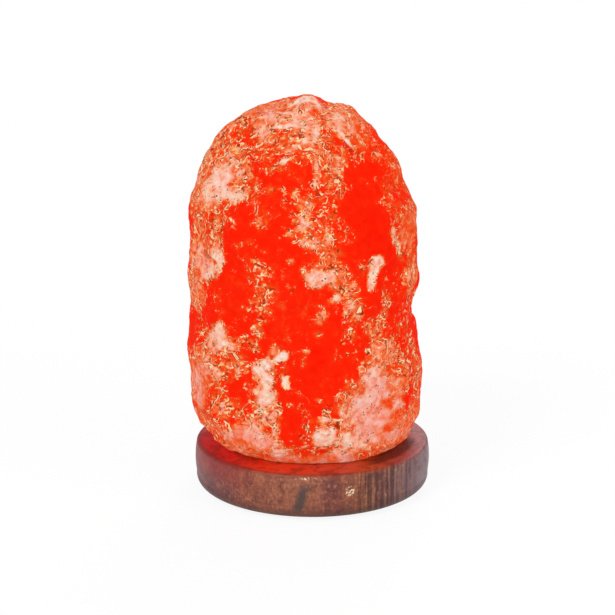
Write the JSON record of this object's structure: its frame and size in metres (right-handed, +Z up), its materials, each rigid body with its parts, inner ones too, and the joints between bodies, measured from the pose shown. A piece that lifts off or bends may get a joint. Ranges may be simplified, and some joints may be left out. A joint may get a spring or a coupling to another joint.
{
  "type": "salt crystal lamp",
  "caption": "Hollow lump of hewn rock salt on a turned wooden base, lit from inside by a pygmy bulb in a lampholder that clips into the bore from below.",
  "frame": {"origin": "on the table, at the centre of the turned base's footprint, in the plane of the felt ring's underside", "axes": "+Z up through the bore; -Y is the front that the picture shows; the cord groove leaves the base towards +Y"},
  "size_m": [0.123, 0.12, 0.198],
  "materials": {
    "salt": "translucent rock salt, rough",
    "stained_wood": "stained, satin",
    "felt": "felt",
    "zinc_steel": "zinc plated",
    "plaster": "matt",
    "spring_steel": "spring steel strip",
    "black_resin": "moulded",
    "white_ceramic": "unglazed",
    "brass": "satin",
    "bulb_glass": "clear",
    "bulb_metal": "rolled",
    "solder": "dull",
    "black_glass": "gloss",
    "stem_glass": "clear",
    "filament_wire": "tungsten"
  },
  "bodies": {
    "lamp": {"salt_rock": "salt", "wooden_base": "stained_wood", "felt_ring": "felt", "plaster_plugs": "plaster", "base_screws": "zinc_steel"},
    "lampholder": {"nipple": "zinc_steel", "nipple_nut": "zinc_steel", "clip_bracket": "spring_steel", "holder_cap": "black_resin", "holder_skirt": "black_resin", "terminal_block": "white_ceramic", "screw_shell": "brass", "centre_contact": "brass", "contact_rivets": "brass", "pillar_terminals": "brass", "terminal_screws": "zinc_steel"},
    "left_clip": {"clip_arm_left": "spring_steel"},
    "right_clip": {"clip_arm_right": "spring_steel"},
    "bulb": {"bulb_glass": "bulb_glass", "bulb_cap": "bulb_metal", "bulb_contact": "solder", "bulb_insulator": "black_glass", "bulb_stem": "stem_glass", "bulb_leads": "filament_wire", "bulb_filament": "filament_wire"}
  },
  "joints": [
    {"name": "holder_pull", "type": "slide", "parent": "lamp", "child": "lampholder", "axis": [0, 0, -1], "range_m": [0, 0.1]},
    {"name": "bulb_out", "type": "slide", "parent": "lampholder", "child": "bulb", "axis": [0, 0, 1], "range_m": [0, 0.022]},
    {"name": "left_squeeze", "type": "hinge", "parent": "lampholder", "child": "left_clip", "pos_m": [-0.0123, 0, 0.01735], "axis": [0, 1, 0], "range_deg": [0, 5], "stiffness_Nm_per_rad": 0.1, "springref_deg": -8.59},
    {"name": "right_squeeze", "type": "hinge", "parent": "lampholder", "child": "right_clip", "pos_m": [0.0123, 0, 0.01735], "axis": [0, -1, 0], "range_deg": [0, 5], "stiffness_Nm_per_rad": 0.1, "springref_deg": -8.59}
  ]
}
